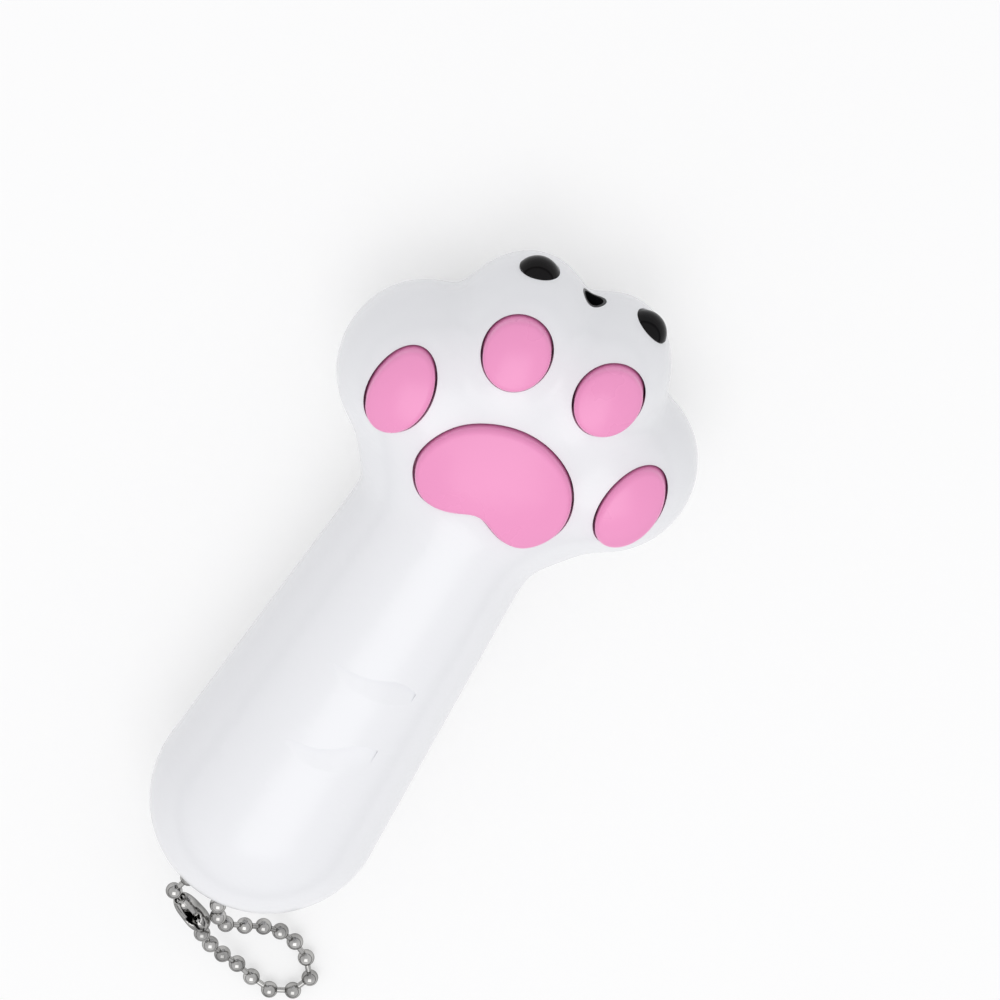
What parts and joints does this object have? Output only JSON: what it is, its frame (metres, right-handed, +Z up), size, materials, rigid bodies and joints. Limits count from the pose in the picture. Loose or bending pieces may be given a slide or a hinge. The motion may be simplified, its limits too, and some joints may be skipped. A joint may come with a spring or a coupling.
{
  "type": "cat laser toy",
  "caption": "Handheld cat-paw laser toy: white moulded paw with pink pad buttons, smoked lamps and an aperture between the toes, and a ball chain at the tail.",
  "frame": {"origin": "on the flat of the paw's back, under the wrist where the handle meets the palm", "axes": "+X from the wrist to the toes, along the beam; +Y to the paw's left; +Z up out of the palm, as the paw lies on its back"},
  "size_m": [0.1314, 0.0544, 0.0279],
  "materials": {
    "white_plastic": "smooth moulded, glossy",
    "pink_plastic": "smooth moulded, soft gloss",
    "smoked_plastic": "polished smoked dome",
    "lamp_epoxy": "clear cast epoxy",
    "silicone": "soft moulded",
    "board_green": "solder mask",
    "chip_black": "moulded",
    "brass": "turned",
    "clear_film": "clear",
    "lens_glass": "polished",
    "diode_gold": "plated",
    "cell_wrap": "plain shrink wrap",
    "spring_steel": "nickel plated strip",
    "plain_steel": "plain",
    "chain_chrome": "nickel plated, bright"
  },
  "bodies": {
    "case": {"palm_shell": "white_plastic", "back_shell": "white_plastic", "outer_pad_left": "pink_plastic", "outer_pad_right": "pink_plastic", "lamp_lens_left": "smoked_plastic", "lamp_lens_right": "smoked_plastic", "led_left": "lamp_epoxy", "led_right": "lamp_epoxy", "palm_dome": "silicone", "toe_dome_left": "silicone", "toe_dome_right": "silicone", "circuit_board": "board_green", "controller_chip": "chip_black", "laser_barrel": "brass", "pattern_film": "clear_film", "laser_optic": "lens_glass", "laser_diode": "diode_gold", "cell_left": "cell_wrap", "cell_right": "cell_wrap", "contact_positive": "spring_steel", "contact_negative": "spring_steel", "contact_series": "spring_steel", "case_screws": "plain_steel", "board_screws": "plain_steel", "lanyard_pin": "plain_steel"},
    "palm_button": {"palm_pad": "pink_plastic"},
    "left_toe_button": {"inner_pad_left": "pink_plastic"},
    "right_toe_button": {"inner_pad_right": "pink_plastic"},
    "battery_door": {"battery_door": "white_plastic", "door_screw": "plain_steel"},
    "chain": {"chain_beads": "chain_chrome", "chain_links": "chain_chrome", "chain_connector": "chain_chrome"}
  },
  "joints": [
    {"name": "palm_press", "type": "slide", "parent": "case", "child": "palm_button", "axis": [0, 0, -1], "range_m": [0, 0.001], "stiffness_N_per_m": 1200, "springref_m": -0.0004, "deforming": ["palm_dome"]},
    {"name": "left_toe_press", "type": "slide", "parent": "case", "child": "left_toe_button", "axis": [0, 0, -1], "range_m": [0, 0.0005], "stiffness_N_per_m": 1500, "springref_m": -0.0004, "deforming": ["toe_dome_left"]},
    {"name": "right_toe_press", "type": "slide", "parent": "case", "child": "right_toe_button", "axis": [0, 0, -1], "range_m": [0, 0.0005], "stiffness_N_per_m": 1500, "springref_m": -0.0004, "deforming": ["toe_dome_right"]},
    {"name": "door_tilt", "type": "hinge", "parent": "case", "child": "battery_door", "pos_m": [-0.00465, 0, 0], "axis": [0, -1, 0], "range_deg": [0, 70]},
    {"name": "chain_swing", "type": "hinge", "parent": "case", "child": "chain", "pos_m": [-0.0602, 0, 0.0128], "axis": [0, 0, 1], "range_deg": [-15, 15]}
  ]
}
